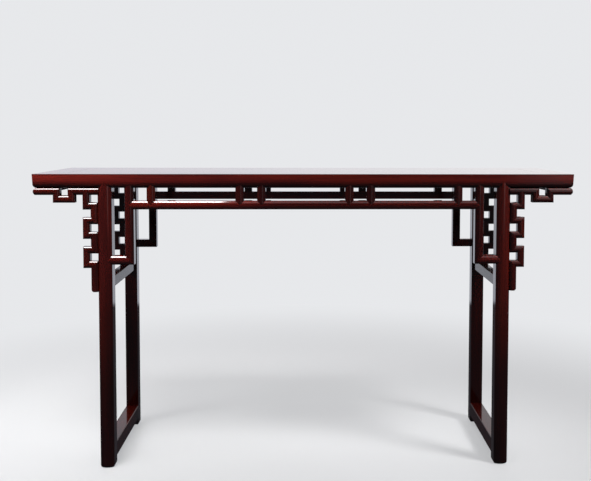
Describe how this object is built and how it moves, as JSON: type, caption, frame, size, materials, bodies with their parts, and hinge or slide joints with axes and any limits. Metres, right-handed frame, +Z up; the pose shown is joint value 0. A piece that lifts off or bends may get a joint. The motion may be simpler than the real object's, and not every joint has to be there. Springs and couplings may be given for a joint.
{
  "type": "altar table",
  "caption": "Long narrow display table in dark hardwood with a framed top, recessed legs, openwork key fret brackets, strutted rails and base runners.",
  "frame": {"origin": "on the floor, at the middle of the table's length and depth", "axes": "+X along the length to the viewer's right, +Y from the front to the back, +Z up"},
  "size_m": [1.563, 0.42, 0.86],
  "materials": {
    "batten_wood": "polished dark red lacquer",
    "cross_wood": "polished dark red lacquer",
    "end_frame_wood": "polished dark red lacquer",
    "fret_wood": "polished dark red lacquer",
    "leg_wood": "polished dark red lacquer",
    "level_wood": "polished dark red lacquer",
    "long_frame_wood": "polished dark red lacquer",
    "panel_wood": "polished dark red lacquer",
    "upright_wood": "polished dark red lacquer"
  },
  "bodies": {
    "root": {"back_left_bracket_foot": "level_wood", "back_left_bracket_upright": "upright_wood", "back_left_dip_frame": "level_wood", "back_left_fret_rail": "level_wood", "back_left_fret_tail": "upright_wood", "back_left_key_fret": "fret_wood", "back_left_leg": "leg_wood", "back_left_overhang_rail": "level_wood", "back_lower_rail": "level_wood", "back_right_bracket_foot": "level_wood", "back_right_bracket_upright": "upright_wood", "back_right_dip_frame": "level_wood", "back_right_fret_rail": "level_wood", "back_right_fret_tail": "upright_wood", "back_right_key_fret": "fret_wood", "back_right_leg": "leg_wood", "back_right_overhang_rail": "level_wood", "back_strut_1": "upright_wood", "back_strut_2": "upright_wood", "back_strut_3": "upright_wood", "back_strut_4": "upright_wood", "back_strut_5": "upright_wood", "back_strut_6": "upright_wood", "front_left_bracket_foot": "level_wood", "front_left_bracket_upright": "upright_wood", "front_left_dip_frame": "level_wood", "front_left_fret_rail": "level_wood", "front_left_fret_tail": "upright_wood", "front_left_key_fret": "fret_wood", "front_left_leg": "leg_wood", "front_left_overhang_rail": "level_wood", "front_lower_rail": "level_wood", "front_right_bracket_foot": "level_wood", "front_right_bracket_upright": "upright_wood", "front_right_dip_frame": "level_wood", "front_right_fret_rail": "level_wood", "front_right_fret_tail": "upright_wood", "front_right_key_fret": "fret_wood", "front_right_leg": "leg_wood", "front_right_overhang_rail": "level_wood", "front_strut_1": "upright_wood", "front_strut_2": "upright_wood", "front_strut_3": "upright_wood", "front_strut_4": "upright_wood", "front_strut_5": "upright_wood", "front_strut_6": "upright_wood", "left_base_runner": "cross_wood", "left_end_apron": "cross_wood", "left_side_stretcher": "cross_wood", "panel_batten_left": "batten_wood", "panel_batten_middle": "batten_wood", "panel_batten_right": "batten_wood", "right_base_runner": "cross_wood", "right_end_apron": "cross_wood", "right_side_stretcher": "cross_wood", "top_back_rail": "long_frame_wood", "top_front_rail": "long_frame_wood", "top_left_end_rail": "end_frame_wood", "top_panel": "panel_wood", "top_right_end_rail": "end_frame_wood"}
  },
  "joints": []
}
